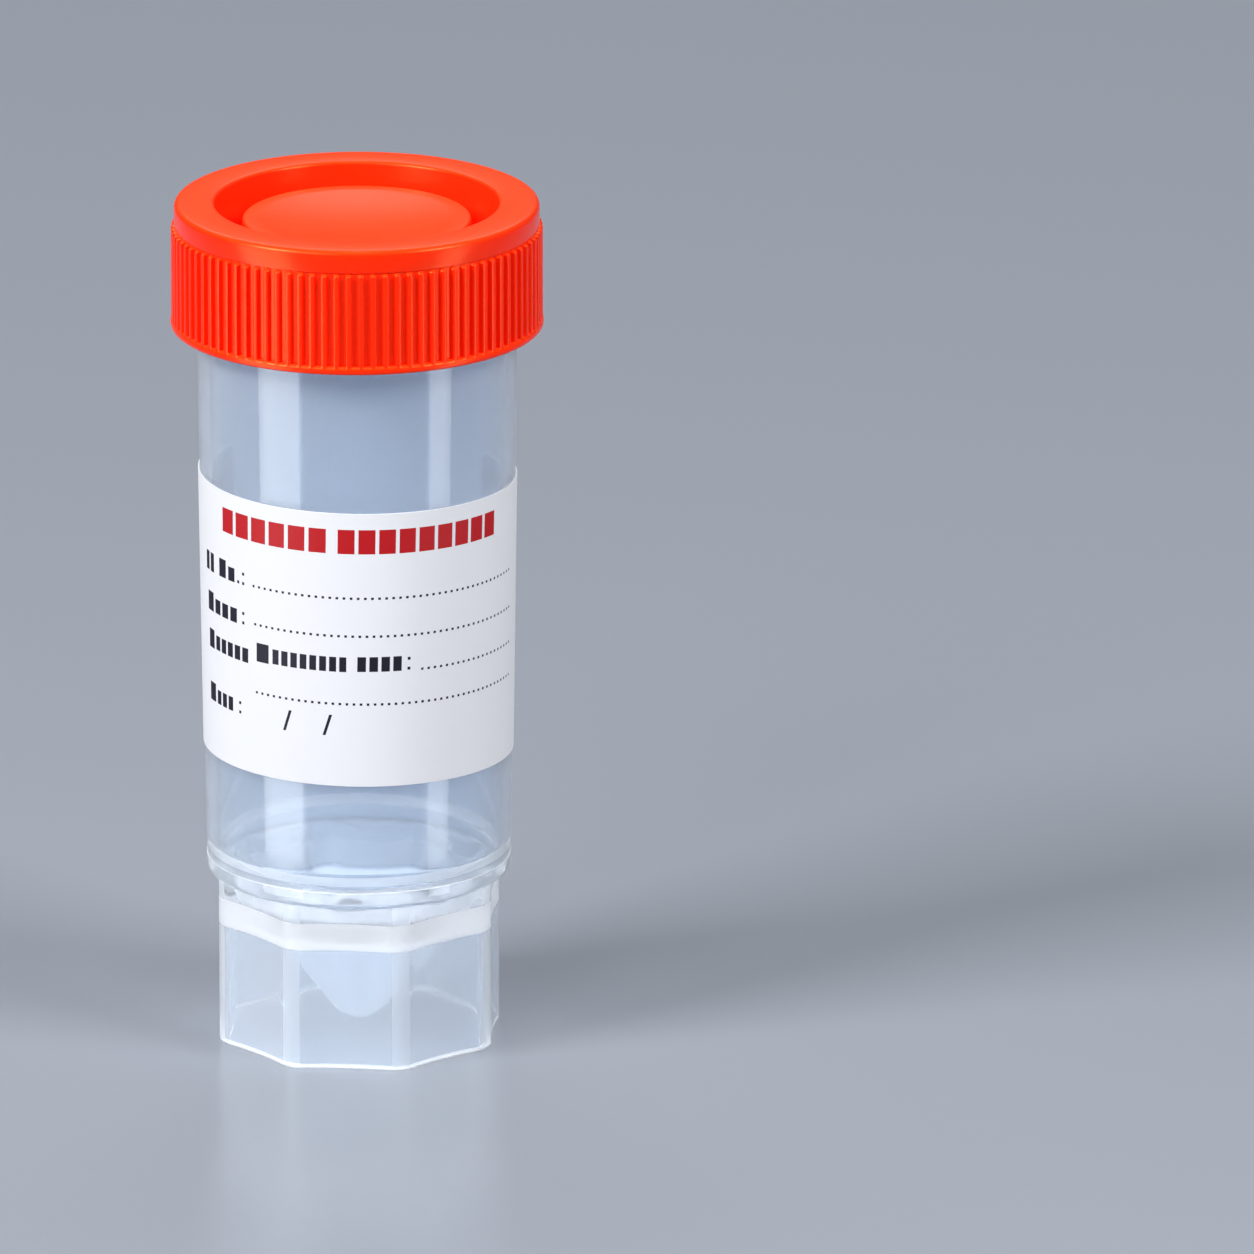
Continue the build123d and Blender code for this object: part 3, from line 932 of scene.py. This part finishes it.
class OBJECT_OT_stage(bpy.types.Operator):
    """Set the floor, backdrop, studio lights, world and camera"""
    bl_idname = "object.specimen_stage"
    bl_label = "Stage"

    def execute(self, context):
        finishes = context.scene.container_finishes
        scene = context.scene
        scene.view_settings.view_transform = "Standard"
        self.add_floor(finishes)
        self.add_lights()
        world = bpy.data.worlds.new("studio")
        world.use_nodes = True
        scene.world = world
        background = world.node_tree.nodes["Background"]
        background.inputs["Color"].default_value = (0.50, 0.54, 0.60, 1)
        background.inputs["Strength"].default_value = 0.17
        self.add_camera(scene)
        return {"FINISHED"}

    def add_camera(self, scene):
        """A long lens from a little above, with the container left of the middle."""
        lift = radians(17.163)
        distance, rise = 2215.4, 0.338
        centre = Vector((26.09, 0, 40.58))
        aim = Vector((0, cos(lift), -sin(lift)))
        up = Vector((0, sin(lift), cos(lift)))
        camera_data = bpy.data.cameras.new("camera")
        camera_data.lens = 655.07
        camera_data.sensor_width = 36
        camera_data.clip_end = 20
        camera = bpy.data.objects.new("camera", camera_data)
        camera.location = (centre - aim * distance + up * rise) * MM
        camera.rotation_euler = (radians(90) - lift, 0, 0)
        scene.collection.objects.link(camera)
        scene.camera = camera

    def add_floor(self, finishes):
        """A floor that curves up into a backdrop."""
        bpy.ops.object.select_all(action="DESELECT")
        bpy.ops.mesh.primitive_plane_add(size=6, location=(0, 0, 0))
        floor = bpy.context.object
        floor.name = "sweep"
        bpy.ops.object.mode_set(mode="EDIT")
        pick(floor, "EDGE", lambda edge: all(vert.co.y > 2.9 for vert in edge.verts))
        bpy.ops.mesh.extrude_region_move(TRANSFORM_OT_translate={"value": (0, 0, 3)})
        pick(floor, "EDGE", lambda edge: all(
            vert.co.y > 2.9 and vert.co.z < 0.1 for vert in edge.verts))
        bpy.ops.mesh.bevel(offset=1.2, segments=12)
        leave_edit()
        bpy.ops.object.shade_smooth()
        material, _, shader = new_material("stage_grey")
        shader.inputs["Base Color"].default_value = finishes.stage_colour
        shader.inputs["Roughness"].default_value = 0.22
        dress(floor, material)

    def add_lights(self):
        """Two tall strips that only the pieces reflect, and soft boxes that light the stage."""
        strips = [
            ("left_strip", -53, 0.038, 3.6),
            ("right_strip", 57, 0.020, 2.7),
        ]
        boxes = [
            ("left_box", -58, 0.42, 32),
            ("right_box", 58, 0.46, 18),
            ("key", -28, 0.4, 7),
        ]
        strip_middle = Vector((0, 0, 0.08))
        lit = bpy.data.collections.new("lit_by_strips")
        for piece in ("clear_container", "ribbed_screw_cap", "wrap_label"):
            lit.objects.link(bpy.data.objects[piece])
        for name, azimuth, width, level in strips:
            turn = radians(azimuth)
            place = Vector((sin(turn), -cos(turn), 0)) * 0.07 + strip_middle
            strip = self.add_lamp(name, place, strip_middle, (width, 0.158), level)
            strip.visible_diffuse = False
            strip.light_linking.receiver_collection = lit
        middle = Vector((0, 0, 0.04))
        for name, azimuth, size, level in boxes:
            turn = radians(azimuth)
            place = Vector((1.02 * sin(turn), -1.02 * cos(turn), 0.80))
            self.add_lamp(name, place, middle, (size, size), level)
        self.add_lamp("edge", Vector((0, -0.36, 1.15)), middle, (0.25, 0.25), 10)
        self.add_lamp("top", Vector((0, 0.9, 1.0)), Vector((0, 0.9, 0)), (1.4, 0.8), 1.9)
        self.add_lamp("back", Vector((0, 1.2, 0.9)), middle, (1.0, 0.4), 1.8)

    def add_lamp(self, name, place, target, size, level):
        """One area light, given by how bright its face is."""
        lamp = bpy.data.lights.new(name, "AREA")
        lamp.shape = "RECTANGLE"
        lamp.size, lamp.size_y = size
        lamp.energy = pi * size[0] * size[1] * level
        holder = bpy.data.objects.new(name, lamp)
        holder.location = place
        holder.rotation_euler = (target - place).to_track_quat("-Z", "Y").to_euler()
        holder.visible_camera = False
        bpy.context.scene.collection.objects.link(holder)
        return holder


class VIEW3D_PT_container(bpy.types.Panel):
    """Buttons that build the container piece by piece"""
    bl_label = "Specimen Container"
    bl_space_type = "VIEW_3D"
    bl_region_type = "UI"
    bl_category = "Container"

    def draw(self, context):
        for operator in OPERATORS:
            self.layout.operator(operator.bl_idname)
        for settings in ("container_sizes", "cap_sizes", "container_finishes"):
            box = self.layout.box()
            group = getattr(context.scene, settings)
            for name in group.bl_rna.properties.keys():
                if name not in ("rna_type", "name"):
                    box.prop(group, name)


SETTINGS = [
    (ContainerSizes, "container_sizes"),
    (CapSizes, "cap_sizes"),
    (Finishes, "container_finishes"),
]
OPERATORS = [
    OBJECT_OT_finishes, OBJECT_OT_container, OBJECT_OT_screw_cap, OBJECT_OT_label,
    OBJECT_OT_stage,
]


def register():
    """Register the settings, the operators and the panel."""
    for settings, name in SETTINGS:
        bpy.utils.register_class(settings)
        setattr(bpy.types.Scene, name, bpy.props.PointerProperty(type=settings))
    for operator in OPERATORS:
        bpy.utils.register_class(operator)
    bpy.utils.register_class(VIEW3D_PT_container)


def unregister():
    """Undo the registration."""
    bpy.utils.unregister_class(VIEW3D_PT_container)
    for operator in reversed(OPERATORS):
        bpy.utils.unregister_class(operator)
    for settings, name in reversed(SETTINGS):
        delattr(bpy.types.Scene, name)
        bpy.utils.unregister_class(settings)


def main():
    """Build every piece and the stage."""
    register()
    bpy.ops.object.specimen_finishes()
    bpy.ops.object.specimen_container()
    bpy.ops.object.specimen_cap()
    bpy.ops.object.specimen_label()
    bpy.ops.object.specimen_stage()


if __name__ == "__main__":
    main()
